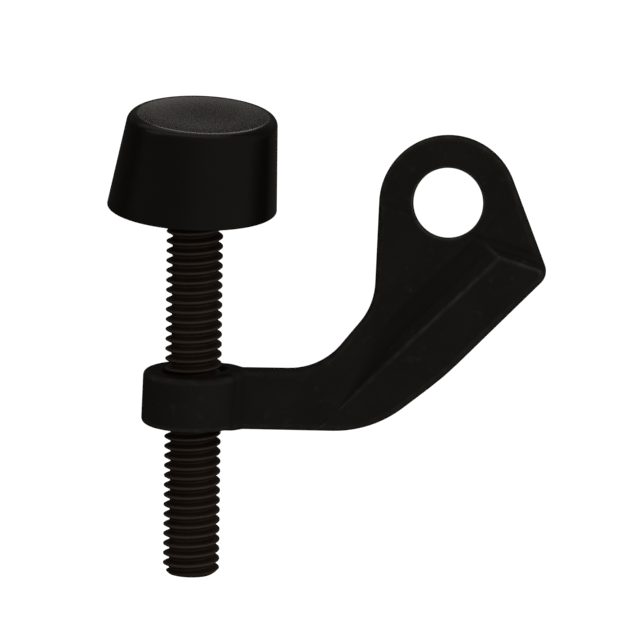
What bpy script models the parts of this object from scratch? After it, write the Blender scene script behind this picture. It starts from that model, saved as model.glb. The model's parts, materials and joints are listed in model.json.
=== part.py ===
"""Hinge-pin door stop: a cast arm, an adjusting screw and a rubber bumper.

Metres, +Z up. The origin is the centre of the hinge-pin hole on the eye plate's underside. The
hinge pin runs along Z, and the screw points along +Y, rising towards the bumper.
"""

from math import ceil, cos, floor, pi, radians, sin, tan

import bmesh
import bpy
from mathutils import Matrix, Vector

MM = 0.001

# Arm, seen from above: the outline's corners are (x, y, fillet radius), the eye is round
EYE_RADIUS = 9.65 * MM
HOLE_RADIUS = 4.95 * MM
HOLE_CHAMFER = 0.3 * MM
EYE_LEFT_TANGENT = radians(177.9)
EYE_RIGHT_TANGENT = radians(22.1)
ARM_INNER_Y = -23.7 * MM
ARM_OUTER_Y = -32.3 * MM
NECK_UPPER_CORNER = (-10.1 * MM, -14.7 * MM, 8.0 * MM)
NECK_LOWER_CORNER = (-17.8 * MM, ARM_INNER_Y, 9.5 * MM)
ELBOW_CORNER = (-10.2 * MM, -32.45 * MM, 16.0 * MM)
HEEL_LOWER_CORNER = (-0.2 * MM, -24.65 * MM, 40.0 * MM)
HEEL_UPPER_CORNER = (14.35 * MM, -10.1 * MM, 2.4 * MM)

# Arm, from the side
ARM_THICKNESS = 7.5 * MM
PLATE_THICKNESS = 4.5 * MM
RIM_ROUNDING = 0.8 * MM

# Heel bar: the ridge parts the full-thickness bar from the recess that thins the eye plate
RIDGE_APEX = Vector((7.55 * MM, -7.5 * MM, 0.0))
RIDGE_DIRECTION = radians(224.0)
RIDGE_LENGTH = 33.0 * MM
RIDGE_EVEN_LENGTH = 15.0 * MM
COVE_WIDTH = 3.9 * MM
COVE_STEPS = 6
RUN_OUT_STEPS = 8
BAR_END_DIRECTION = radians(-17.7)
BAR_END_LENGTH = 12.0 * MM
BAR_END_RAMP = 1.1 * MM
RECESS_REACH = 40.0 * MM

# Threaded boss, round about the screw's axis, which passes the datum at the middle of the arm;
# both ends are measured from the datum, towards the bumper
SCREW_RISE = radians(10.0)
SCREW_SWING = radians(-0.5)
SCREW_DATUM = Vector((-35.65 * MM, -28.0 * MM, 3.9 * MM))
BOSS_LOWER_END = -3.6 * MM
BOSS_UPPER_END = 4.0 * MM
BOSS_LOWER_RADIUS = 7.35 * MM
BOSS_UPPER_RADIUS = 7.1 * MM
BOSS_ROUNDING = 0.65 * MM
COUNTERSINK_RADIUS = 4.7 * MM
COUNTERSINK_DEPTH = 1.6 * MM

# 5/16-18 UNC thread with its finish
PITCH = 25.4 * MM / 18
THREAD_RADIUS = 4.0 * MM
THREAD_DEPTH = 0.6134 * PITCH
CREST_SHARE = 1 / 8
ROOT_SHARE = 1 / 6
THREAD_CLEARANCE = 0.2 * MM
TURN_SEGMENTS = 20

# Screw, measured along its axis from the datum towards the bumper
SCREW_FREE_END = -25.4 * MM
SCREW_CHAMFER = 0.75 * MM
HEAD_CENTRE = 31.8 * MM
HEAD_RADIUS = 6.0 * MM
HEAD_THICKNESS = 2.2 * MM
HEAD_CHAMFER = 0.3 * MM

# Bumper, measured along its own axis from the centre of the screw's head; the rubber has set a
# little sideways, so each section is shifted by BUMPER_SKEW times its height, and its top slants
BUMPER_LEAN = radians(2.2)
BUMPER_LIFT = radians(3.7)
BUMPER_SKEW = 0.07
BUMPER_TOP_SLANT = 0.03
BUMPER_MOUTH = -4.7 * MM
BUMPER_HEIGHT = 14.05 * MM
BUMPER_BASE_RADIUS = 12.0 * MM
BUMPER_TOP_RADIUS = 10.65 * MM
BASE_ROUNDING = 0.3 * MM
SHOULDER_ROUNDING = 1.1 * MM
DISH_RADIUS = 9.5 * MM
DISH_DEPTH = 0.7 * MM
MOUTH_RADIUS = 5.0 * MM
NECK_RADIUS = 4.6 * MM
NECK_LENGTH = 2.9 * MM
POCKET_RADIUS = 6.9 * MM
POCKET_HEIGHT = 3.6 * MM
ROUND_SEGMENTS = 48
ARC_STEP = radians(10.0)
SHARP_ANGLE = radians(30.0)


# ---------------------------------------------------------------- tools

def clear_scene():
    for item in list(bpy.data.objects):
        bpy.data.objects.remove(item, do_unlink=True)


def material(name, colour, roughness, metallic):
    made = bpy.data.materials.new(name)
    made.use_nodes = True
    shader = made.node_tree.nodes["Principled BSDF"]
    shader.inputs["Base Color"].default_value = (*colour, 1.0)
    shader.inputs["Roughness"].default_value = roughness
    shader.inputs["Metallic"].default_value = metallic
    return made


def link(name, mesh, frame=None):
    """An object for the mesh, placed at frame."""
    item = bpy.data.objects.new(name, mesh)
    bpy.context.scene.collection.objects.link(item)
    if frame is not None:
        item.matrix_world = frame
    return item


def mesh_of(name, points, faces):
    """A mesh whose faces all point out."""
    mesh = bpy.data.meshes.new(name)
    mesh.from_pydata(points, [], faces)
    body = bmesh.new()
    body.from_mesh(mesh)
    bmesh.ops.recalc_face_normals(body, faces=body.faces)
    body.to_mesh(mesh)
    body.free()
    return mesh


def shade(item, finish):
    item.data.materials.clear()
    item.data.materials.append(finish)
    item.data.shade_smooth()
    item.data.set_sharp_from_angle(angle=SHARP_ANGLE)


def boolean(item, cutter, operation):
    """Add a Boolean to item, and make the cutter a hidden guide."""
    step = item.modifiers.new(operation.title() + " " + cutter.name, "BOOLEAN")
    step.operation = operation
    step.object = cutter
    step.solver = "EXACT"
    cutter.hide_render = True
    cutter.display_type = "WIRE"


def prism(name, outline, low, high, rounding=0.0):
    """An outline in XY, extruded from low to high, with rounded rims."""
    body = bmesh.new()
    base = body.faces.new([body.verts.new((x, y, low)) for x, y in outline])
    grown = bmesh.ops.extrude_face_region(body, geom=[base])["geom"]
    top = [part for part in grown if isinstance(part, bmesh.types.BMVert)]
    bmesh.ops.translate(body, verts=top, vec=(0, 0, high - low))
    bmesh.ops.recalc_face_normals(body, faces=body.faces)
    if rounding:
        rims = [e for e in body.edges if abs(e.verts[0].co.z - e.verts[1].co.z) < MM / 10]
        bmesh.ops.bevel(body, geom=rims, offset=rounding, segments=2, profile=0.5, affect="EDGES")
    mesh = bpy.data.meshes.new(name)
    body.to_mesh(mesh)
    body.free()
    return mesh


def turned(name, profile, segments=ROUND_SEGMENTS):
    """A (radius, z) profile, from the axis round to the axis, turned about Z."""
    points = []
    rings = []
    for radius, z in profile:
        if radius < MM / 1000:
            rings.append([len(points)])
            points.append((0.0, 0.0, z))
            continue
        rings.append(range(len(points), len(points) + segments))
        for k in range(segments):
            angle = 2 * pi * k / segments
            points.append((radius * cos(angle), radius * sin(angle), z))
    faces = []
    for ring, after in zip(rings, rings[1:]):
        for k in range(segments):
            corners = []
            for index in (ring[k % len(ring)], ring[(k + 1) % len(ring)],
                          after[(k + 1) % len(after)], after[k % len(after)]):
                if index not in corners:
                    corners.append(index)
            faces.append(corners)
    return mesh_of(name, points, faces)


def arc(centre, radius, start, end):
    """Points on an arc, both ends included."""
    count = max(2, ceil(abs(end - start) / ARC_STEP))
    angles = [start + (end - start) * k / count for k in range(count + 1)]
    return [(centre[0] + radius * cos(a), centre[1] + radius * sin(a)) for a in angles]


def fillet(before, corner, after):
    """The points that replace an (x, y, radius) corner between two neighbours."""
    point = Vector(corner[:2])
    radius = corner[2]
    if not radius:
        return [tuple(point)]
    back = (Vector(before[:2]) - point).normalized()
    ahead = (Vector(after[:2]) - point).normalized()
    half = back.angle(ahead) / 2
    centre = point + (back + ahead).normalized() * radius / sin(half)
    first = point + back * radius / tan(half) - centre
    sweep = first.angle_signed(point + ahead * radius / tan(half) - centre)
    start = Vector((1, 0)).angle_signed(first)
    return arc(centre, radius, -start, -start - sweep)


# ---------------------------------------------------------------- hinge arm

def arm_outline():
    """The casting seen from above, from the eye round by the neck, the arm and the heel."""
    eye = arc((0, 0), EYE_RADIUS, EYE_RIGHT_TANGENT, EYE_LEFT_TANGENT)
    corners = [
        (*eye[-1], 0),
        NECK_UPPER_CORNER,
        NECK_LOWER_CORNER,
        (SCREW_DATUM.x, ARM_INNER_Y, 0),
        (SCREW_DATUM.x, ARM_OUTER_Y, 0),
        ELBOW_CORNER,
        HEEL_LOWER_CORNER,
        HEEL_UPPER_CORNER,
        (*eye[0], 0),
    ]
    outline = eye[:]
    for before, corner, after in zip(corners, corners[1:], corners[2:]):
        outline += fillet(before, corner, after)
    return outline


def channel(name, stations, frame):
    """A cutter swept along local X: each station is (x, profile), a profile is (y, z) points."""
    points = [(x, y, z) for x, profile in stations for y, z in profile]
    size = len(stations[0][1])
    faces = [list(range(size)), [len(points) - size + k for k in range(size)]]
    for s in range(len(stations) - 1):
        for k in range(size):
            low, high = s * size + k, s * size + (k + 1) % size
            faces.append([low, high, high + size, low + size])
    return link(name, mesh_of(name, points, faces), frame)


def ridge_frame(direction, flip):
    """A frame at the ridge's apex: X runs along the ridge and Y points across the recess."""
    frame = Matrix.Translation(RIDGE_APEX) @ Matrix.Rotation(direction, 4, "Z")
    return frame @ Matrix.Diagonal((1, flip, 1, 1))


def cove_profile(depth):
    """The recess across the ridge: a quarter ellipse down to the floor, then the open top."""
    above = ARM_THICKNESS + 2 * MM
    profile = [(0, above)]
    for k in range(COVE_STEPS + 1):
        turn = pi / 2 * k / COVE_STEPS
        profile.append((COVE_WIDTH * (1 - cos(turn)), ARM_THICKNESS - depth * sin(turn)))
    return profile + [(RECESS_REACH, ARM_THICKNESS - depth), (RECESS_REACH, above)]


def eye_recess():
    """The recess beside the long ridge, whose floor rises to the arm's face at the far end."""
    depth = ARM_THICKNESS - PLATE_THICKNESS
    stations = [(-RECESS_REACH / 2, cove_profile(depth))]
    for k in range(RUN_OUT_STEPS + 1):
        share = k / RUN_OUT_STEPS
        along = RIDGE_EVEN_LENGTH + (RIDGE_LENGTH - RIDGE_EVEN_LENGTH) * share
        ease = 0.5 + 0.5 * cos(pi * share)
        stations.append((along, cove_profile(depth * (1.03 * ease - 0.03))))
    stations[1] = (stations[1][0], cove_profile(depth))
    return channel("eye_recess", stations, ridge_frame(RIDGE_DIRECTION, -1))


def end_recess():
    """The recess past the bar's upper end, with a steep straight ramp."""
    above = ARM_THICKNESS + 2 * MM
    reach = BAR_END_LENGTH
    profile = [(0, above), (0, ARM_THICKNESS), (BAR_END_RAMP, PLATE_THICKNESS),
               (reach, PLATE_THICKNESS), (reach, above)]
    stations = [(-reach / 3, profile), (reach, profile)]
    return channel("end_recess", stations, ridge_frame(BAR_END_DIRECTION, 1))


def screw_frame():
    """Z along the screw towards the bumper, from the datum."""
    swing = Matrix.Rotation(SCREW_SWING, 4, "Z")
    return Matrix.Translation(SCREW_DATUM) @ swing @ Matrix.Rotation(SCREW_RISE - pi / 2, 4, "X")


def rounded_rod(name, radii, low, high, rounding, steps=3):
    """A turned rod, with a radius for each end, whose two rims are rounded."""
    profile = [(0, low)]
    rims = ((radii[0], low + rounding, -pi / 2), (radii[1], high - rounding, 0))
    for radius, centre, start in rims:
        for k in range(steps + 1):
            turn = start + pi / 2 * k / steps
            profile.append((radius - rounding + rounding * cos(turn), centre + rounding * sin(turn)))
    profile.append((0, high))
    return turned(name, profile)


def hole_cutter():
    """The hinge-pin hole with a chamfer at each face."""
    over = 0.5 * MM
    wide = HOLE_RADIUS + HOLE_CHAMFER + over
    profile = [(0, -over), (wide, -over), (HOLE_RADIUS, HOLE_CHAMFER),
               (HOLE_RADIUS, PLATE_THICKNESS - HOLE_CHAMFER),
               (wide, PLATE_THICKNESS + over), (0, PLATE_THICKNESS + over)]
    return link("hole_cutter", turned("hole_cutter", profile))


def countersink(name, face, side):
    """A cone that opens the tapped hole at a face of the boss, which looks along side * Z."""
    over = 1.0 * MM
    inner = COUNTERSINK_RADIUS - COUNTERSINK_DEPTH
    profile = [(0, face - side * COUNTERSINK_DEPTH), (inner, face - side * COUNTERSINK_DEPTH),
               (COUNTERSINK_RADIUS + over, face + side * over), (0, face + side * over)]
    return link(name, turned(name, profile), screw_frame())


def hinge_arm(finish):
    arm = link("hinge_arm", prism("hinge_arm", arm_outline(), 0, ARM_THICKNESS, RIM_ROUNDING))
    boss_mesh = rounded_rod("boss", (BOSS_LOWER_RADIUS, BOSS_UPPER_RADIUS), BOSS_LOWER_END,
                            BOSS_UPPER_END, BOSS_ROUNDING)
    boss = link("boss", boss_mesh, screw_frame())
    boolean(arm, eye_recess(), "DIFFERENCE")
    boolean(arm, end_recess(), "DIFFERENCE")
    boolean(arm, boss, "UNION")
    boolean(arm, hole_cutter(), "DIFFERENCE")
    tap_mesh = thread("tap", THREAD_CLEARANCE, BOSS_LOWER_END - PITCH, BOSS_UPPER_END + PITCH)
    tap = link("tap", tap_mesh, screw_frame())
    boolean(arm, tap, "DIFFERENCE")
    boolean(arm, countersink("upper_countersink", BOSS_UPPER_END, 1), "DIFFERENCE")
    boolean(arm, countersink("lower_countersink", BOSS_LOWER_END, -1), "DIFFERENCE")
    shade(arm, finish)
    return arm


# ---------------------------------------------------------------- adjusting screw

def thread(name, clearance, low, high):
    """A right-hand thread's whole solid, from below low to above high.

    Every column of points climbs the profile once per turn, and the next column stands one step
    further round and higher, so the faces follow the helix. A crest faces -X at z = 0.
    """
    crest = THREAD_RADIUS + clearance
    root = crest - THREAD_DEPTH
    profile = [(root, ROOT_SHARE / 2), (crest, 0.5 - CREST_SHARE / 2),
               (crest, 0.5 + CREST_SHARE / 2), (root, 1 - ROOT_SHARE / 2)]
    first = floor(low / PITCH) - 1
    turns = ceil(high / PITCH) + 1 - first
    rows = 4 * turns
    points = []
    for j in range(TURN_SEGMENTS):
        angle = 2 * pi * j / TURN_SEGMENTS
        for row in range(rows + 4):
            radius, share = profile[row % 4]
            z = PITCH * (first + row // 4 + share + j / TURN_SEGMENTS)
            points.append((radius * cos(angle), radius * sin(angle), z))

    def index(j, row):
        if j == TURN_SEGMENTS:
            return row + 4
        return j * (rows + 4) + row

    faces = []
    for j in range(TURN_SEGMENTS):
        for row in range(rows - 1):
            faces.append([index(j, row), index(j + 1, row), index(j + 1, row + 1), index(j, row + 1)])
    for end in (0, rows - 1):
        centre = len(points)
        points.append((0, 0, PITCH * (first + end / 4 + 0.5)))
        rim = [index(j, end) for j in range(TURN_SEGMENTS)] + [end + 4 - k for k in range(5)]
        faces += [[centre, rim[k], rim[k + 1]] for k in range(len(rim) - 1)]
    return mesh_of(name, points, faces)


def adjusting_screw(finish, axis):
    """The threaded rod, trimmed to its chamfered blank, with a round head."""
    screw = link("adjusting_screw", thread("adjusting_screw", 0.0, SCREW_FREE_END, HEAD_CENTRE))
    screw.parent = axis
    tip = THREAD_RADIUS - SCREW_CHAMFER
    over = 0.5 * MM
    blank_profile = [(0, SCREW_FREE_END), (tip, SCREW_FREE_END),
                     (THREAD_RADIUS + over, SCREW_FREE_END + SCREW_CHAMFER + over),
                     (THREAD_RADIUS + over, HEAD_CENTRE), (0, HEAD_CENTRE)]
    blank = link("screw_blank", turned("screw_blank", blank_profile), axis.matrix_world)
    half = HEAD_THICKNESS / 2
    head_mesh = rounded_rod("screw_head", (HEAD_RADIUS, HEAD_RADIUS), HEAD_CENTRE - half,
                            HEAD_CENTRE + half, HEAD_CHAMFER, steps=1)
    head = link("screw_head", head_mesh, axis.matrix_world)
    boolean(screw, blank, "INTERSECT")
    boolean(screw, head, "UNION")
    shade(screw, finish)
    return screw


# ---------------------------------------------------------------- rubber bumper

def bumper_profile():
    """The bumper's section from the pocket's roof, down the neck, up the outside to the dish."""
    top = BUMPER_MOUTH + BUMPER_HEIGHT
    neck_top = BUMPER_MOUTH + NECK_LENGTH
    pocket_top = neck_top + POCKET_HEIGHT
    section = [(0, pocket_top), (POCKET_RADIUS, pocket_top), (POCKET_RADIUS, neck_top),
               (NECK_RADIUS, neck_top), (MOUTH_RADIUS, BUMPER_MOUTH),
               (BUMPER_BASE_RADIUS - BASE_ROUNDING, BUMPER_MOUTH),
               (BUMPER_BASE_RADIUS, BUMPER_MOUTH + BASE_ROUNDING)]
    steps = 4
    for k in range(steps + 1):
        turn = pi / 2 * k / steps
        section.append((BUMPER_TOP_RADIUS - SHOULDER_ROUNDING * (1 - cos(turn)),
                        top - SHOULDER_ROUNDING * (1 - sin(turn))))
    for k in range(steps + 1):
        share = 1 - k / steps
        section.append((DISH_RADIUS * share, top - DISH_DEPTH * (1 - share * share)))
    return section


def rubber_bumper(finish, axis):
    """The bumper turns with nothing: it rides on the screw's head, leaning as it settles."""
    pivot = bpy.data.objects.new("bumper_pivot", None)
    bpy.context.scene.collection.objects.link(pivot)
    pivot.parent = axis
    pivot.matrix_local = (Matrix.Translation((0, 0, HEAD_CENTRE))
                          @ Matrix.Rotation(BUMPER_LIFT, 4, "X")
                          @ Matrix.Rotation(BUMPER_LEAN, 4, "Y"))
    mesh = turned("rubber_bumper", bumper_profile())
    roof = BUMPER_MOUTH + NECK_LENGTH + POCKET_HEIGHT
    above = BUMPER_MOUTH + BUMPER_HEIGHT - roof
    for vertex in mesh.vertices:
        share = max(0, vertex.co.z - roof) / above
        vertex.co.z += BUMPER_TOP_SLANT * share * (vertex.co.y - BUMPER_TOP_RADIUS)
    mesh.transform(Matrix.Shear("XY", 4, (BUMPER_SKEW, 0)))
    bumper = link("rubber_bumper", mesh)
    bumper.parent = pivot
    shade(bumper, finish)
    return bumper


def main():
    clear_scene()
    axis = bpy.data.objects.new("screw_axis", None)
    bpy.context.scene.collection.objects.link(axis)
    axis.matrix_world = screw_frame()
    bpy.context.view_layer.update()
    hinge_arm(material("black_casting", (0.012, 0.011, 0.009), 0.45, 0.3))
    adjusting_screw(material("black_oxide", (0.018, 0.012, 0.008), 0.5, 0.6), axis)
    rubber_bumper(material("black_rubber", (0.012, 0.011, 0.010), 0.55, 0.0), axis)
    bpy.context.view_layer.update()


main()
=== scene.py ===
"""Looks of the hinge-pin door stop: a smooth casting, a rolled thread and a moulded bumper.

Shapes are worked out in millimetres in the frame's own axes, and scaled to metres as meshes.
"""

import json
from math import atan2, ceil, cos, pi, radians, sin, tan

import bpy
import numpy as np
from mathutils import Matrix, Vector


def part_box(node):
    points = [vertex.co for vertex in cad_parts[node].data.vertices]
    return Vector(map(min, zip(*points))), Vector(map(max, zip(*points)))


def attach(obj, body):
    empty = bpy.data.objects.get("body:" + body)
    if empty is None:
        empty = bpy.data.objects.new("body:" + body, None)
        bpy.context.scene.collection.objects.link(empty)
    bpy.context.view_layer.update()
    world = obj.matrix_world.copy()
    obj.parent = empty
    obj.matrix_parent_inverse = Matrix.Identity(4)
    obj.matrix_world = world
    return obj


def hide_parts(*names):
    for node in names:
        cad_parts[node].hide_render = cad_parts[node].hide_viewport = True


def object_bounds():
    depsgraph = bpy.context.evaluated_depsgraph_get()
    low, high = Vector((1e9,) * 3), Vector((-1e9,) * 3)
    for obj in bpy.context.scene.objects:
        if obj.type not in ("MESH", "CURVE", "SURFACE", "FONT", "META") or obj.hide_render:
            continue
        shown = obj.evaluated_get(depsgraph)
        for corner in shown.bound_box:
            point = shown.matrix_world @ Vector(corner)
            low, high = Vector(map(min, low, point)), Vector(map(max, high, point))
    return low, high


MM = 0.001

# Casting, seen from above: corners are (x, y, fillet radius), in millimetres
EYE_CENTRE = (0, -0.2)
EYE_RADIUS = 9.8
EYE_LEFT_TANGENT = radians(178.3)
EYE_RIGHT_TANGENT = radians(21.1)
ARM_INNER_Y = -23.7
ARM_OUTER_Y = -32.3
NECK_UPPER_CORNER = (-10.3, -14.6, 9.5)
NECK_LOWER_CORNER = (-17.8, ARM_INNER_Y, 9.5)
ELBOW_CORNER = (-10.2, -32.45, 16.0)
HEEL_LOWER_CORNER = (-0.2, -24.65, 40.0)
HEEL_UPPER_CORNER = (14.35, -10.1, 2.4)
ARC_STEP = radians(4.0)

# Casting, from the side
RIM_ROUNDING = 0.9
FOOT_ROUNDING = 0.45
DRAFT = tan(radians(1.0))
HOLE_ROUNDING = 0.25

# Heel bar and the recesses beside it
RIDGE_APEX = (7.55, -7.5)
RIDGE_DIRECTION = radians(224.0)
RIDGE_LENGTH = 33.0
RIDGE_EVEN_LENGTH = 15.0
RIDGE_ROUNDING = 0.3
COVE_TILT = radians(47)
COVE_HOLLOW = 0.4
COVE_LEAST_DEPTH = 0.02
BAR_END_DIRECTION = radians(-17.7)
BAR_END_RAMP = 1.1
BAR_END_FILLET = 0.8

# Threaded boss, along the screw's axis from the joint's own point
BOSS_LOWER_END = -3.6
BOSS_UPPER_END = 4.0
BOSS_RADIUS = 7.2
BOSS_DRAFT = tan(radians(1.8))
BOSS_ROUNDING = 0.75
BOSS_FILLET = 0.9
COUNTERSINK_RADIUS = 4.7
COUNTERSINK_ROUNDING = 0.15
COUNTERSINK_REACH = 1.0

# Thread
THREAD_RADIUS = 4.0
THREAD_DEPTH_SHARE = 0.6134
CREST_SHARE = 1 / 8
ROOT_SHARE = 1 / 6
THREAD_CLEARANCE = 0.2
THREAD_SOFTNESS = 0.4
TURN_SEGMENTS = 96
ROWS_PER_PITCH = 18
END_RINGS = 4
PLAIN_HEIGHT = 0.5

# Screw and bumper, along the screw's axis and then along the bumper's own
SCREW_FREE_END = -25.4
SCREW_CHAMFER = 0.75
HEAD_CENTRE = 31.8
HEAD_RADIUS = 6.0
HEAD_THICKNESS = 2.2
HEAD_ROUNDING = 0.5
BUMPER_LEAN = radians(2.2)
BUMPER_LIFT = radians(3.7)
BUMPER_SKEW = 0.07
BUMPER_TOP_SLANT = 0.03
BUMPER_MOUTH = -4.7
BUMPER_HEIGHT = 14.0
BUMPER_BASE_RADIUS = 12.0
BUMPER_TOP_RADIUS = 10.65
BASE_ROUNDING = 0.35
SHOULDER_ROUNDING_NEAR = 1.9
SHOULDER_ROUNDING_FAR = 0.9
DISH_DEPTH = 0.9
DISH_POWER = 3.0
MOUTH_RADIUS = 5.0
NECK_RADIUS = 4.6
NECK_LENGTH = 2.9
POCKET_RADIUS = 6.9
POCKET_HEIGHT = 3.6
POCKET_ROUNDING = 0.4
MOUTH_ROUNDING = 0.3
SHOULDER_STEPS = 12
DISH_STEPS = 32
ROUND_SEGMENTS = 160
ON_AXIS = 1e-6

# Studio, in metres: reflectors are (name, x, gap behind the object, size, brightness)
FLOOR_DROP = 0.0038
REFLECTOR_DROP = 0.0001
ROOM = 2.0
LIGHT_COLOUR = (1.0, 0.93, 0.86)
LEFT_LIGHT = 0.115
RIGHT_LIGHT = 0.20
LOWER_LIGHT = 0.25
REFLECTORS = [
    ("near_reflector", 0.015, 0.006, (0.06, 0.005), 0.05),
    ("middle_reflector", 0.0145, 0.011, (0.018, 0.009), 2.0),
    ("far_reflector", 0.0, 0.030, (0.06, 0.05), 0.4),
]

# Camera, in metres
CAMERA_TILT_X = radians(2.289)
CAMERA_TILT_Y = radians(2.061)
CAMERA_ROLL = radians(0.767)
CAMERA_DISTANCE = 1.2
CAMERA_TARGET = Vector((-0.0179, -0.01683, 0.00225))
VIEW_WIDTH = 0.0904877
SENSOR = 36.0

# Skin of the casting, its scuffed edges with painted highlights, and painted shade in hollows
GRID_CELL = 0.25
SETTLE_STEPS = 4
PROBE = 0.01
WEAR_HIGHLIGHT_FROM = 0.3
WEAR_HIGHLIGHT_FULL = 1.3
RIDGE_WEAR_HIGHLIGHT_WIDTH = 0.4
RIDGE_WEAR_HIGHLIGHT_OVERRUN = 0.3
RIDGE_WEAR_HIGHLIGHT_DEPTH = 0.6
HOLLOW_SHADE_FULL = 0.16


# ---------------------------------------------------------------- the frame's own sizes

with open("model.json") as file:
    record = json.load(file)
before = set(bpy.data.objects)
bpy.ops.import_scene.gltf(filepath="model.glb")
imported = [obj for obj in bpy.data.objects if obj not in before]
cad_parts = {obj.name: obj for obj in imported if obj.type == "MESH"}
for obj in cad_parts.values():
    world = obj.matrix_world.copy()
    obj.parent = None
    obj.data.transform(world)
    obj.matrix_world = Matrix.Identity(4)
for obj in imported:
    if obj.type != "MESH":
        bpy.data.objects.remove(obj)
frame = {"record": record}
cad_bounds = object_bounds()
record = frame["record"]
mounts = {mount["name"]: mount for mount in record["mounts"]}
joints = {joint["name"]: joint for joint in record["behaviour"]["joints"]}
coupling = record["behaviour"]["couplings"][0]

HOLE_RADIUS = mounts["hinge_pin"]["dims"]["r_mm"]
PLATE_THICKNESS = mounts["eye_top"]["pos_m"][2] / MM
ARM_THICKNESS = 2 * mounts["heel_face"]["pos_m"][2] / MM
PITCH = 2 * pi / coupling["ratio"] / MM
THREAD_DEPTH = THREAD_DEPTH_SHARE * PITCH
SCREW_POINT = np.array(joints["screw_turn"]["pos_m"]) / MM
SCREW_AXIS = np.array(joints["screw_turn"]["axis"])
SCREW_AXIS /= np.linalg.norm(SCREW_AXIS)


def screw_frame():
    """Local Z along the screw, local X level."""
    level = np.array((SCREW_AXIS[1], -SCREW_AXIS[0], 0.0))
    level /= np.linalg.norm(level)
    third = np.cross(SCREW_AXIS, level)
    return np.column_stack((level, third, SCREW_AXIS))


SCREW_FRAME = screw_frame()


# ---------------------------------------------------------------- rounded combinations of distances

def both(a, b, radius):
    """The part inside both shapes, with their shared edge rounded."""
    edge = np.hypot(np.maximum(a + radius, 0), np.maximum(b + radius, 0))
    return np.minimum(np.maximum(a, b), -radius) + edge


def either(a, b, radius):
    """The two shapes together, with a fillet between them."""
    edge = np.hypot(np.maximum(radius - a, 0), np.maximum(radius - b, 0))
    return np.maximum(np.minimum(a, b), radius) - edge


# ---------------------------------------------------------------- casting

def arc(centre, radius, start, end, step=ARC_STEP):
    count = max(2, ceil(abs(end - start) / step))
    angles = [start + (end - start) * k / count for k in range(count + 1)]
    return [(centre[0] + radius * cos(a), centre[1] + radius * sin(a)) for a in angles]


def fillet(before, corner, after):
    """The points that replace an (x, y, radius) corner between two neighbours."""
    point = Vector(corner[:2])
    radius = corner[2]
    if not radius:
        return [tuple(point)]
    back = (Vector(before[:2]) - point).normalized()
    ahead = (Vector(after[:2]) - point).normalized()
    half = back.angle(ahead) / 2
    centre = point + (back + ahead).normalized() * radius / sin(half)
    first = point + back * radius / tan(half) - centre
    sweep = first.angle_signed(point + ahead * radius / tan(half) - centre)
    start = Vector((1, 0)).angle_signed(first)
    return arc(centre, radius, -start, -start - sweep)


def casting_outline():
    """The casting seen from above, from the eye round by the neck, the arm and the heel."""
    eye = arc(EYE_CENTRE, EYE_RADIUS, EYE_RIGHT_TANGENT, EYE_LEFT_TANGENT)
    corners = [
        (*eye[-1], 0),
        NECK_UPPER_CORNER,
        NECK_LOWER_CORNER,
        (SCREW_POINT[0], ARM_INNER_Y, 0),
        (SCREW_POINT[0], ARM_OUTER_Y, 0),
        ELBOW_CORNER,
        HEEL_LOWER_CORNER,
        HEEL_UPPER_CORNER,
        (*eye[0], 0),
    ]
    outline = eye[:]
    for before, corner, after in zip(corners, corners[1:], corners[2:]):
        outline += fillet(before, corner, after)
    return outline


def outline_distance(x, y, outline):
    """Distance from the outline in plan, negative inside it."""
    nearest = np.full(x.shape, np.inf)
    inside = np.zeros(x.shape, bool)
    for (ax, ay), (bx, by) in zip(outline, outline[1:] + outline[:1]):
        ex, ey = bx - ax, by - ay
        wx, wy = x - ax, y - ay
        share = np.clip((wx * ex + wy * ey) / (ex * ex + ey * ey), 0, 1)
        nearest = np.minimum(nearest, (wx - ex * share) ** 2 + (wy - ey * share) ** 2)
        if ay != by:
            inside ^= ((y >= ay) != (y >= by)) & (wx < ex * wy / ey)
    return np.where(inside, -1, 1) * np.sqrt(nearest)


def cove(x, y, z):
    """How far a point is inside the recess beside the long ridge, whose floor runs out."""
    dx, dy = x - RIDGE_APEX[0], y - RIDGE_APEX[1]
    along = dx * cos(RIDGE_DIRECTION) + dy * sin(RIDGE_DIRECTION)
    across = dx * sin(RIDGE_DIRECTION) - dy * cos(RIDGE_DIRECTION)
    run = np.clip((along - RIDGE_EVEN_LENGTH) / (RIDGE_LENGTH - RIDGE_EVEN_LENGTH), 0, 1)
    depth = (ARM_THICKNESS - PLATE_THICKNESS) * (0.5 + 0.5 * np.cos(pi * run))
    depth = np.maximum(depth, COVE_LEAST_DEPTH)
    bevel = (z - ARM_THICKNESS) * cos(COVE_TILT) + across * sin(COVE_TILT)
    return either(bevel, z - ARM_THICKNESS + depth, COVE_HOLLOW * depth), depth


def bar_end(x, y, z):
    """How far a point is inside the recess past the bar's upper end."""
    dx, dy = x - RIDGE_APEX[0], y - RIDGE_APEX[1]
    across = dy * cos(BAR_END_DIRECTION) - dx * sin(BAR_END_DIRECTION)
    drop = ARM_THICKNESS - PLATE_THICKNESS
    ramp = (across * drop + (z - ARM_THICKNESS) * BAR_END_RAMP) / np.hypot(drop, BAR_END_RAMP)
    return either(ramp, z - PLATE_THICKNESS, BAR_END_FILLET)


def thread_height(angle, along):
    """The rolled thread's height, 0 at the root and 1 at the crest; a crest faces -X at zero."""
    apart = np.abs((along / PITCH - angle / (2 * pi)) % 1 - 0.5)
    flank = 0.5 - ROOT_SHARE / 2 - CREST_SHARE / 2
    climb = np.clip((0.5 - ROOT_SHARE / 2 - apart) / flank, 0, 1)
    soft = climb * climb * (3 - 2 * climb)
    return climb + THREAD_SOFTNESS * (soft - climb)


def thread_radius(angle, along):
    return THREAD_RADIUS - THREAD_DEPTH * (1 - thread_height(angle, along))


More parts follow.
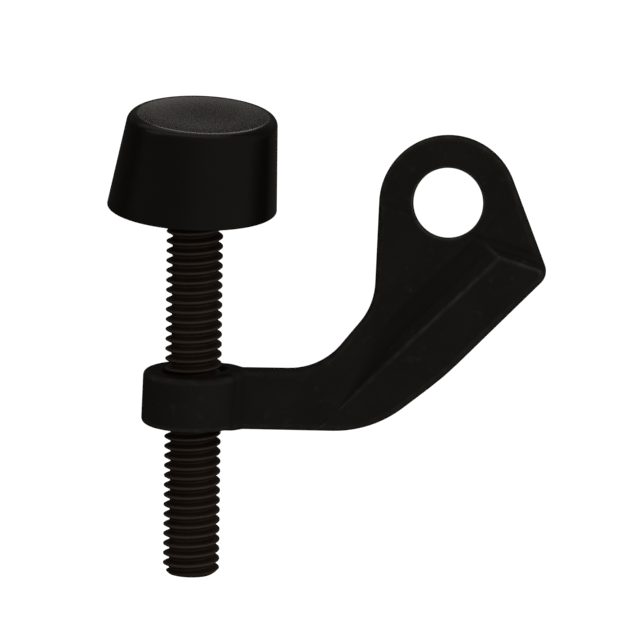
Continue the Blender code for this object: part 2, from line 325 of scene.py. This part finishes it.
def tapped_hole(angle, radius, along):
    """Negative inside the boss's tapped hole and its two countersinks."""
    tap = radius - thread_radius(angle, along) - THREAD_CLEARANCE
    slope = 1 / np.sqrt(2)
    upper = (radius - COUNTERSINK_RADIUS + BOSS_UPPER_END - along) * slope
    lower = (radius - COUNTERSINK_RADIUS + along - BOSS_LOWER_END) * slope
    past = np.maximum(along - BOSS_UPPER_END, BOSS_LOWER_END - along) - COUNTERSINK_REACH
    return np.maximum(np.minimum(tap, np.minimum(upper, lower)), past)


def casting(points, plan):
    """Distance from the casting's surface, negative inside; plan is the outline's distance."""
    x, y, z = points
    sides = plan + DRAFT * z
    recess, depth = cove(x, y, z)
    top = both(z - ARM_THICKNESS, recess, np.minimum(RIDGE_ROUNDING, depth / 2))
    top = both(top, bar_end(x, y, z), RIDGE_ROUNDING)
    body = both(both(sides, top, RIM_ROUNDING), -z, FOOT_ROUNDING)

    from_joint = np.stack((x, y, z)) - SCREW_POINT.reshape(3, *[1] * x.ndim)
    local = np.tensordot(SCREW_FRAME.T, from_joint, 1)
    angle = np.arctan2(local[1], local[0])
    radius = np.hypot(local[0], local[1])
    along = local[2]
    middle = (BOSS_UPPER_END + BOSS_LOWER_END) / 2
    half = (BOSS_UPPER_END - BOSS_LOWER_END) / 2
    barrel = radius - BOSS_RADIUS + BOSS_DRAFT * (along - middle)
    boss = both(barrel, np.abs(along - middle) - half, BOSS_ROUNDING)
    body = either(body, boss, BOSS_FILLET)

    body = both(body, HOLE_RADIUS - np.hypot(x, y), HOLE_ROUNDING)
    return both(body, -tapped_hole(angle, radius, along), COUNTERSINK_ROUNDING)


def probe(points, outline):
    """The casting's distance and its slope at loose points."""
    def at(place):
        return casting(place, outline_distance(place[0], place[1], outline))

    slope = np.empty_like(points)
    for axis in range(3):
        step = np.zeros((3, 1))
        step[axis] = PROBE
        slope[axis] = (at(points + step) - at(points - step)) / (2 * PROBE)
    return at(points), slope


def turning(points, faces, normals):
    """How much the skin turns outward at each corner, per millimetre; negative in hollows."""
    bend = np.zeros(len(points))
    count = np.zeros(len(points))
    for k in range(4):
        first, second = faces[:, k], faces[:, (k + 1) % 4]
        apart = points[second] - points[first]
        turn = ((normals[second] - normals[first]) * apart).sum(1)
        turn /= np.maximum((apart ** 2).sum(1), 1e-4)
        for end in (first, second):
            bend += np.bincount(end, turn, len(points))
            count += np.bincount(end, minlength=len(points))
    return bend / count


def ridge_wear_and_highlight(points):
    """How close a point is to the heel bar's two upper edges, from 0 to 1: the weight of the painted
    highlight and scuffing along them.
    """
    x, y, z = points.T
    dx, dy = x - RIDGE_APEX[0], y - RIDGE_APEX[1]
    along = dx * cos(RIDGE_DIRECTION) + dy * sin(RIDGE_DIRECTION)
    across = dx * sin(RIDGE_DIRECTION) - dy * cos(RIDGE_DIRECTION)
    long_edge = np.where(along > -RIDGE_WEAR_HIGHLIGHT_OVERRUN, np.abs(across), np.inf)
    end_along = dx * cos(BAR_END_DIRECTION) + dy * sin(BAR_END_DIRECTION)
    end_across = dy * cos(BAR_END_DIRECTION) - dx * sin(BAR_END_DIRECTION)
    end_edge = np.where(end_along > -RIDGE_WEAR_HIGHLIGHT_OVERRUN, np.abs(end_across), np.inf)
    fade = np.clip((RIDGE_LENGTH - along) / (RIDGE_LENGTH - RIDGE_EVEN_LENGTH), 0, 1)
    close = np.clip(1 - np.minimum(long_edge, end_edge) / RIDGE_WEAR_HIGHLIGHT_WIDTH, 0, 1)
    return close * fade * (z > ARM_THICKNESS - RIDGE_WEAR_HIGHLIGHT_DEPTH)


def skin(values, low, cell):
    """Surface nets: one vertex in each mixed cell, one face across each crossed grid edge."""
    inside = values < 0
    spans = [slice(0, -1), slice(1, None)]
    count = sum(inside[a, b, c].astype(np.int8) for a in spans for b in spans for c in spans)
    mixed = (count > 0) & (count < 8)
    cells = np.argwhere(mixed)
    number = np.full(mixed.shape, -1)
    number[mixed] = np.arange(len(cells))

    total = np.zeros((len(cells), 3))
    hits = np.zeros(len(cells))
    for axis in range(3):
        for first in (0, 1):
            for second in (0, 1):
                near = np.insert(np.array((first, second)), axis, 0)
                far = np.insert(np.array((first, second)), axis, 1)
                a = values[tuple((cells + near).T)]
                b = values[tuple((cells + far).T)]
                crossed = (a < 0) != (b < 0)
                share = np.where(crossed, a / np.where(crossed, a - b, 1), 0)
                spot = near + share[:, None] * (far - near)
                total += np.where(crossed[:, None], spot, 0)
                hits += crossed
    points = low + cell * (cells + total / hits[:, None])

    faces = []
    for axis in range(3):
        shape = [slice(1, -1)] * 3
        start = list(shape)
        end = list(shape)
        start[axis] = slice(0, -1)
        end[axis] = slice(1, None)
        leaving = inside[tuple(start)] & ~inside[tuple(end)]
        entering = ~inside[tuple(start)] & inside[tuple(end)]
        second, third = (axis + 1) % 3, (axis + 2) % 3
        for crossed, order in ((leaving, (0, 1, 2, 3)), (entering, (3, 2, 1, 0))):
            at = np.argwhere(crossed) + [0 if k == axis else 1 for k in range(3)]
            ring = []
            for back_second, back_third in ((0, 0), (1, 0), (1, 1), (0, 1)):
                cell_at = at.copy()
                cell_at[:, second] -= back_second
                cell_at[:, third] -= back_third
                ring.append(number[tuple(cell_at.T)])
            faces.append(np.stack([ring[k] for k in order], 1))
    return points, np.concatenate(faces)


def casting_mesh():
    """The casting as an even skin of small faces, each corner settled on the true surface."""
    outline = casting_outline()
    low, high = (np.array(corner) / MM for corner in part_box("hinge_arm"))
    low = low - 3 * GRID_CELL
    counts = np.ceil((high - low) / GRID_CELL).astype(int) + 3
    axes = [low[k] + GRID_CELL * np.arange(counts[k]) for k in range(3)]
    x, y = np.meshgrid(axes[0], axes[1], indexing="ij")
    plan = outline_distance(x, y, outline)
    layers = [casting((x, y, np.full_like(x, z)), plan) for z in axes[2]]
    points, faces = skin(np.stack(layers, 2), low, GRID_CELL)

    points = points.T
    for _ in range(SETTLE_STEPS):
        value, slope = probe(points, outline)
        steepness = np.maximum((slope ** 2).sum(0), 0.1)
        move = -value * slope / steepness
        length = np.maximum(np.linalg.norm(move, axis=0), 1e-9)
        points = points + move * np.minimum(1, GRID_CELL / 2 / length)
    value, slope = probe(points, outline)
    points = points.T
    normals = (slope / np.maximum(np.linalg.norm(slope, axis=0), 1e-9)).T
    turn = turning(points, faces, normals)
    # painted highlight with scuffing: convex edges get a lighter colour
    worn_and_highlit = np.clip((turn - WEAR_HIGHLIGHT_FROM) / (WEAR_HIGHLIGHT_FULL - WEAR_HIGHLIGHT_FROM), 0, 1)
    # painted shade: hollows, where the skin turns inward, darken the casting's colour
    hollow_shade = np.clip(-turn / HOLLOW_SHADE_FULL, 0, 1)
    return points, faces, normals, np.maximum(worn_and_highlit, ridge_wear_and_highlight(points)), hollow_shade


# ---------------------------------------------------------------- meshes

def mesh_of(name, points, faces, normals=None):
    """A smooth mesh, in metres, from points in millimetres."""
    mesh = bpy.data.meshes.new(name)
    mesh.from_pydata((np.asarray(points) * MM).tolist(), [], [list(face) for face in faces])
    mesh.shade_smooth()
    if normals is not None:
        mesh.normals_split_custom_set_from_vertices(normals.tolist())
    return mesh


def weight(mesh, name, values):
    """A number for each vertex, which a material can read."""
    layer = mesh.attributes.new(name, "FLOAT", "POINT")
    layer.data.foreach_set("value", np.asarray(values, np.float32))


def piece(name, mesh, finish, body, node):
    """A piece that stands for a CAD node and rides on its body."""
    item = bpy.data.objects.new(name, mesh)
    bpy.context.scene.collection.objects.link(item)
    mesh.materials.append(finish)
    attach(item, body)
    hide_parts(node)
    return item


def turned(profile, segments):
    """A (radius, z) profile from the axis round to the axis, turned about Z."""
    points = []
    rings = []
    for radius, z in profile:
        if radius < ON_AXIS:
            rings.append([len(points)])
            points.append((0.0, 0.0, z))
            continue
        rings.append(range(len(points), len(points) + segments))
        for k in range(segments):
            angle = 2 * pi * k / segments
            points.append((radius * cos(angle), radius * sin(angle), z))
    faces = []
    for ring, after in zip(rings, rings[1:]):
        for k in range(segments):
            corners = []
            for index in (ring[k % len(ring)], ring[(k + 1) % len(ring)],
                          after[(k + 1) % len(after)], after[k % len(after)]):
                if index not in corners:
                    corners.append(index)
            faces.append(corners)
    return np.array(points), faces


def rounded(profile, step=radians(15)):
    """A profile of (radius, z, rounding) corners, with each corner turned into an arc."""
    points = []
    for k, corner in enumerate(profile):
        if k in (0, len(profile) - 1) or not corner[2]:
            points.append(tuple(corner[:2]))
            continue
        points += rounded_corner(profile[k - 1], corner, profile[k + 1], step)
    return points


def rounded_corner(before, corner, after, step):
    point = Vector(corner[:2])
    back = (Vector(before[:2]) - point).normalized()
    ahead = (Vector(after[:2]) - point).normalized()
    half = back.angle(ahead) / 2
    centre = point + (back + ahead).normalized() * corner[2] / sin(half)
    first = point + back * corner[2] / tan(half) - centre
    last = point + ahead * corner[2] / tan(half) - centre
    start = atan2(first.y, first.x)
    sweep = (atan2(last.y, last.x) - start + pi) % (2 * pi) - pi
    return arc(centre, corner[2], start, start + sweep, step)


# ---------------------------------------------------------------- screw

def ring_faces(first, second, outward=True):
    """Faces between two rings of the screw that start at two vertices."""
    faces = []
    for k in range(TURN_SEGMENTS):
        after = (k + 1) % TURN_SEGMENTS
        a, b = (k, after) if outward else (after, k)
        faces.append([first + a, first + b, second + b, second + a])
    return faces


def fan_faces(first, point, outward=True):
    """Faces from a ring of the screw to one vertex on its axis."""
    faces = []
    for k in range(TURN_SEGMENTS):
        after = (k + 1) % TURN_SEGMENTS
        a, b = (k, after) if outward else (after, k)
        faces.append([first + a, first + b, point])
    return faces


def screw_mesh():
    """The threaded rod with its chamfered free end, running into the head inside the bumper."""
    neck = HEAD_CENTRE - HEAD_THICKNESS / 2
    rows = round((neck - SCREW_FREE_END) / PITCH * ROWS_PER_PITCH)
    row_along = np.linspace(SCREW_FREE_END, neck, rows + 1)
    row_angle = 2 * pi * np.arange(TURN_SEGMENTS) / TURN_SEGMENTS
    along, angle = np.meshgrid(row_along, row_angle, indexing="ij")
    chamfer = THREAD_RADIUS - SCREW_CHAMFER + (along - SCREW_FREE_END)
    threaded = thread_radius(angle, along)
    radius = np.minimum(threaded, chamfer)
    trimmed = 1 - np.clip((threaded - chamfer) / THREAD_DEPTH, 0, 1)
    height = np.minimum(thread_height(angle, along), trimmed)
    points = np.stack((radius * np.cos(angle), radius * np.sin(angle), along), 2)
    points = points.reshape(-1, 3).tolist()
    heights = height.ravel().tolist()
    faces = []
    for row in range(rows):
        faces += ring_faces(row * TURN_SEGMENTS, (row + 1) * TURN_SEGMENTS)

    rim = THREAD_RADIUS - SCREW_CHAMFER
    free_end = [(rim * (1 - step / END_RINGS), SCREW_FREE_END) for step in range(1, END_RINGS + 1)]
    far_side = HEAD_CENTRE + HEAD_THICKNESS / 2
    head = rounded([
        (THREAD_RADIUS - THREAD_DEPTH, neck, 0),
        (HEAD_RADIUS, neck, HEAD_ROUNDING),
        (HEAD_RADIUS, far_side, HEAD_ROUNDING),
        (0, far_side, 0),
    ])[1:]
    for profile, last, outward in ((free_end, 0, False), (head, rows * TURN_SEGMENTS, True)):
        for ring_radius, z in profile:
            first = len(points)
            if ring_radius < ON_AXIS:
                points.append((0, 0, z))
                heights.append(PLAIN_HEIGHT)
                faces += fan_faces(last, first, outward)
                break
            points += [(ring_radius * cos(a), ring_radius * sin(a), z) for a in row_angle]
            heights += [PLAIN_HEIGHT] * TURN_SEGMENTS
            faces += ring_faces(last, first, outward)
            last = first
    placed = SCREW_POINT + np.array(points) @ SCREW_FRAME.T
    return placed, faces, heights


# ---------------------------------------------------------------- bumper

def bumper_profile(shoulder_rounding):
    """The bumper's section from the pocket's roof, down the neck, up the outside to the dish."""
    top = BUMPER_MOUTH + BUMPER_HEIGHT
    side = top - shoulder_rounding
    neck_top = BUMPER_MOUTH + NECK_LENGTH
    pocket_top = neck_top + POCKET_HEIGHT
    outside = rounded([
        (0, pocket_top, 0),
        (POCKET_RADIUS, pocket_top, POCKET_ROUNDING),
        (POCKET_RADIUS, neck_top, MOUTH_ROUNDING),
        (NECK_RADIUS, neck_top, MOUTH_ROUNDING),
        (MOUTH_RADIUS, BUMPER_MOUTH, MOUTH_ROUNDING),
        (BUMPER_BASE_RADIUS, BUMPER_MOUTH, BASE_ROUNDING),
        (BUMPER_TOP_RADIUS, side, 0),
    ])
    turn = [pi / 2 * k / SHOULDER_STEPS for k in range(SHOULDER_STEPS + 1)]
    shoulder = [(BUMPER_TOP_RADIUS - shoulder_rounding * (1 - cos(a)),
                 side + shoulder_rounding * sin(a)) for a in turn]
    lip = BUMPER_TOP_RADIUS - shoulder_rounding
    inward = [1 - k / DISH_STEPS for k in range(1, DISH_STEPS + 1)]
    dish = [(lip * share, top - DISH_DEPTH * (1 - share ** DISH_POWER)) for share in inward]
    return outside[:-1] + shoulder + dish


def bumper_mesh():
    """The bumper about the screw's head, softer along its near edge, skewed, and leaning as it rests."""
    points, faces = turned(bumper_profile(SHOULDER_ROUNDING_NEAR), ROUND_SEGMENTS)
    far, _ = turned(bumper_profile(SHOULDER_ROUNDING_FAR), ROUND_SEGMENTS)
    share = 0.5 + 0.5 * np.clip(far[:, 1] / BUMPER_TOP_RADIUS, -1, 1)
    points += share[:, None] * (far - points)
    roof = BUMPER_MOUTH + NECK_LENGTH + POCKET_HEIGHT
    share = np.maximum(points[:, 2] - roof, 0) / (BUMPER_MOUTH + BUMPER_HEIGHT - roof)
    points[:, 2] += BUMPER_TOP_SLANT * share * (points[:, 1] - BUMPER_TOP_RADIUS)
    points[:, 0] += BUMPER_SKEW * points[:, 2]
    lean = np.array(Matrix.Rotation(BUMPER_LIFT, 3, "X") @ Matrix.Rotation(BUMPER_LEAN, 3, "Y"))
    points = points @ lean.T + (0, 0, HEAD_CENTRE)
    return SCREW_POINT + points @ SCREW_FRAME.T, faces


# ---------------------------------------------------------------- materials

def new_material(name):
    made = bpy.data.materials.new(name)
    made.use_nodes = True
    return made, made.node_tree.nodes, made.node_tree.links


def noise(nodes, links, scale, detail, space):
    texture = nodes.new("ShaderNodeTexNoise")
    texture.inputs["Scale"].default_value = scale
    texture.inputs["Detail"].default_value = detail
    links.new(space.outputs["Object"], texture.inputs["Vector"])
    return texture.outputs["Fac"]


def ramp(nodes, links, source, low, high, start=0.35, end=0.65):
    """Colours, or greys, between two levels of a value."""
    made = nodes.new("ShaderNodeValToRGB")
    made.color_ramp.elements[0].position = start
    made.color_ramp.elements[1].position = end
    for element, value in zip(made.color_ramp.elements, (low, high)):
        element.color = (*value, 1) if isinstance(value, tuple) else (value, value, value, 1)
    links.new(source, made.inputs["Fac"])
    return made.outputs["Color"]


def blend_colour(nodes, links, factor, first, second):
    made = nodes.new("ShaderNodeMix")
    made.data_type = "RGBA"
    links.new(factor, made.inputs["Factor"])
    links.new(first, made.inputs["A"])
    if isinstance(second, tuple):
        made.inputs["B"].default_value = (*second, 1)
    else:
        links.new(second, made.inputs["B"])
    return made.outputs["Result"]


def bump(nodes, links, height, distance, strength, under=None):
    made = nodes.new("ShaderNodeBump")
    made.inputs["Distance"].default_value = distance
    made.inputs["Strength"].default_value = strength
    links.new(height, made.inputs["Height"])
    if under is not None:
        links.new(under, made.inputs["Normal"])
    return made.outputs["Normal"]


def casting_finish():
    """Near-black satin coating over a fine cast grain, scuffed paler and given a painted highlight along
    its edges, with painted shade in its hollows.
    """
    made, nodes, links = new_material("casting_black")
    shader = nodes["Principled BSDF"]
    space = nodes.new("ShaderNodeTexCoord")
    broad = noise(nodes, links, 160, 3, space)
    scuffs = noise(nodes, links, 700, 5, space)
    grain = noise(nodes, links, 2600, 4, space)
    fine = noise(nodes, links, 9000, 2, space)
    base = ramp(nodes, links, broad, (0.026, 0.0252, 0.0213), (0.033, 0.0320, 0.0273))
    scuffed = ramp(nodes, links, scuffs, 0.0, 1.0, 0.60, 0.80)
    base = blend_colour(nodes, links, scuffed, base, (0.060, 0.058, 0.050))
    # painted shade: a darker base colour in the hollows
    hollow_shade = nodes.new("ShaderNodeAttribute")
    hollow_shade.attribute_name = "hollow_shade"
    base = blend_colour(nodes, links, hollow_shade.outputs["Fac"], base, (0.021, 0.020, 0.017))
    # painted highlight with scuffing: edges and the ridge lighten the colour
    wear_and_highlight = nodes.new("ShaderNodeAttribute")
    wear_and_highlight.attribute_name = "wear_and_highlight"
    rubbed_and_highlit = nodes.new("ShaderNodeMath")
    rubbed_and_highlit.operation = "MULTIPLY"
    links.new(wear_and_highlight.outputs["Fac"], rubbed_and_highlit.inputs[0])
    links.new(ramp(nodes, links, scuffs, 0.35, 1.0, 0.40, 0.60), rubbed_and_highlit.inputs[1])
    colour = blend_colour(nodes, links, rubbed_and_highlit.outputs["Value"], base, (0.130, 0.125, 0.110))
    links.new(colour, shader.inputs["Base Color"])
    links.new(ramp(nodes, links, grain, 0.52, 0.66), shader.inputs["Roughness"])
    shader.inputs["Specular IOR Level"].default_value = 0.3
    coarse = bump(nodes, links, grain, 0.00002, 0.5)
    links.new(bump(nodes, links, fine, 0.000006, 0.5, coarse), shader.inputs["Normal"])
    return made


def screw_finish():
    """Brown-black oxide, with a painted highlight that makes the rolled crests a little brighter."""
    made, nodes, links = new_material("screw_black_oxide")
    shader = nodes["Principled BSDF"]
    space = nodes.new("ShaderNodeTexCoord")
    broad = noise(nodes, links, 300, 3, space)
    grain = noise(nodes, links, 5000, 3, space)
    crest = nodes.new("ShaderNodeAttribute")
    crest.attribute_name = "crest"
    base = ramp(nodes, links, broad, (0.056, 0.0375, 0.0275), (0.076, 0.0510, 0.0380))
    # painted highlight: the rolled crests get a lighter colour
    crest_highlight = ramp(nodes, links, crest.outputs["Fac"], 0.0, 1.0, 0.72, 1.0)
    colour = blend_colour(nodes, links, crest_highlight, base, (0.145, 0.110, 0.088))
    links.new(colour, shader.inputs["Base Color"])
    links.new(ramp(nodes, links, grain, 0.38, 0.52), shader.inputs["Roughness"])
    shader.inputs["Specular IOR Level"].default_value = 0.3
    links.new(bump(nodes, links, grain, 0.00001, 0.5), shader.inputs["Normal"])
    return made


def rubber_finish():
    """Smooth moulded black rubber with a soft sheen and a trace of bloom."""
    made, nodes, links = new_material("bumper_black_rubber")
    shader = nodes["Principled BSDF"]
    space = nodes.new("ShaderNodeTexCoord")
    broad = noise(nodes, links, 120, 3, space)
    grain = noise(nodes, links, 1800, 3, space)
    base = ramp(nodes, links, broad, (0.0115, 0.0108, 0.0094), (0.0145, 0.0137, 0.0120))
    links.new(base, shader.inputs["Base Color"])
    links.new(ramp(nodes, links, grain, 0.24, 0.29), shader.inputs["Roughness"])
    shader.inputs["Specular IOR Level"].default_value = 0.35
    links.new(bump(nodes, links, grain, 0.000001, 0.2), shader.inputs["Normal"])
    return made


def floor_finish():
    made, nodes, _ = new_material("floor_white")
    shader = nodes["Principled BSDF"]
    shader.inputs["Base Color"].default_value = (0.9, 0.9, 0.9, 1)
    shader.inputs["Roughness"].default_value = 0.9
    shader.inputs["Specular IOR Level"].default_value = 0.0
    shader.inputs["Emission Color"].default_value = (1, 1, 1, 1)
    shader.inputs["Emission Strength"].default_value = 1.0
    return made


# ---------------------------------------------------------------- studio

def softbox(name, target, away, distance, size, brightness):
    """A rectangular area light, evenly bright, that looks at a target from one direction."""
    light = bpy.data.lights.new(name, "AREA")
    light.shape = "RECTANGLE"
    light.size, light.size_y = size
    light.color = LIGHT_COLOUR
    light.energy = brightness * pi * size[0] * size[1]
    item = bpy.data.objects.new(name, light)
    bpy.context.scene.collection.objects.link(item)
    away = Vector(away).normalized()
    item.location = target + away * distance
    item.rotation_mode = "QUATERNION"
    item.rotation_quaternion = away.to_track_quat("Z", "Y")
    item.visible_camera = False


def backdrop(name, points, faces, finish):
    """A surface that only the camera sees: it neither shades the object nor shows in its gloss."""
    mesh = bpy.data.meshes.new(name)
    mesh.from_pydata(points, [], faces)
    mesh.materials.append(finish)
    item = bpy.data.objects.new(name, mesh)
    bpy.context.scene.collection.objects.link(item)
    item.visible_glossy = False
    item.visible_diffuse = False
    item.visible_shadow = False


def surroundings():
    """A wide soft light: brightest over the right side, dim from below."""
    made = bpy.data.worlds.new("studio")
    made.use_nodes = True
    nodes, links = made.node_tree.nodes, made.node_tree.links
    space = nodes.new("ShaderNodeTexCoord")
    parts = nodes.new("ShaderNodeSeparateXYZ")
    links.new(space.outputs["Generated"], parts.inputs["Vector"])
    product = nodes.new("ShaderNodeMath")
    product.operation = "MULTIPLY"
    slopes = (("X", -0.5, 0.4, LEFT_LIGHT, RIGHT_LIGHT), ("Z", -0.2, 0.1, LOWER_LIGHT, 1.0))
    for slot, (axis, start, end, low, high) in zip(product.inputs, slopes):
        part = nodes.new("ShaderNodeMapRange")
        part.interpolation_type = "SMOOTHSTEP"
        part.inputs["From Min"].default_value = start
        part.inputs["From Max"].default_value = end
        part.inputs["To Min"].default_value = low
        part.inputs["To Max"].default_value = high
        links.new(parts.outputs[axis], part.inputs["Value"])
        links.new(part.outputs["Result"], slot)
    shader = nodes["Background"]
    shader.inputs["Color"].default_value = (*LIGHT_COLOUR, 1)
    links.new(product.outputs["Value"], shader.inputs["Strength"])
    return made


def studio(low, high):
    """A white floor and walls round the object, with soft light from above, behind and both sides."""
    centre = (low + high) / 2
    finish = floor_finish()
    ground = low.z - FLOOR_DROP
    square = [(-1, -1), (1, -1), (1, 1), (-1, 1)]
    corners = [(centre.x + ROOM * x, centre.y + ROOM * y, ground + up)
               for up in (0, 2 * ROOM) for x, y in square]
    walls = [(k, (k + 1) % 4, 4 + (k + 1) % 4, 4 + k) for k in range(4)]
    backdrop("floor", corners[:4], [(0, 1, 2, 3)], finish)
    backdrop("walls", corners, walls, finish)

    softbox("back_softbox", centre, (-0.3, 1.0, 0.05), 0.5, (0.6, 0.12), 0.5)
    for name, x, gap, size, brightness in REFLECTORS:
        behind = Vector((low.x + x, high.y + gap + size[1] / 2, low.z - REFLECTOR_DROP))
        softbox(name, behind, (0, 0, -1), 0, size, brightness)
    bpy.context.scene.world = surroundings()
    bpy.context.scene.view_settings.view_transform = "Standard"


def camera():
    """Nearly overhead, from far away, turned a little so that the screw stands upright."""
    toward = Vector((tan(CAMERA_TILT_X), tan(CAMERA_TILT_Y), 1)).normalized()
    side = Vector((0, 1, 0)).cross(toward).normalized()
    up = toward.cross(side)
    right = side * cos(CAMERA_ROLL) + up * sin(CAMERA_ROLL)
    upward = up * cos(CAMERA_ROLL) - side * sin(CAMERA_ROLL)
    data = bpy.data.cameras.new("camera")
    data.sensor_width = SENSOR
    data.lens = SENSOR * CAMERA_DISTANCE / VIEW_WIDTH
    data.clip_start = 0.01
    data.clip_end = 10
    item = bpy.data.objects.new("camera", data)
    bpy.context.scene.collection.objects.link(item)
    turn = Matrix((right, upward, toward)).transposed()
    item.matrix_world = Matrix.Translation(CAMERA_TARGET + toward * CAMERA_DISTANCE) @ turn.to_4x4()
    bpy.context.scene.camera = item


def main():
    points, faces, normals, wear_and_highlight, hollow_shade = casting_mesh()
    mesh = mesh_of("arm_casting", points, faces, normals)
    # painted highlight with scuffing on the edges and the ridge
    weight(mesh, "wear_and_highlight", wear_and_highlight)
    # painted shade in the hollows
    weight(mesh, "hollow_shade", hollow_shade)
    piece("arm_casting", mesh, casting_finish(), "arm", "hinge_arm")

    points, faces, heights = screw_mesh()
    mesh = mesh_of("screw_thread", points, faces)
    # thread heights set the painted highlight on the crests
    weight(mesh, "crest", heights)
    piece("screw_thread", mesh, screw_finish(), "screw", "adjusting_screw")

    points, faces = bumper_mesh()
    mesh = mesh_of("bumper_cap", points, faces)
    piece("bumper_cap", mesh, rubber_finish(), "bumper", "rubber_bumper")

    low, high = cad_bounds
    studio(low, high)
    camera()


main()
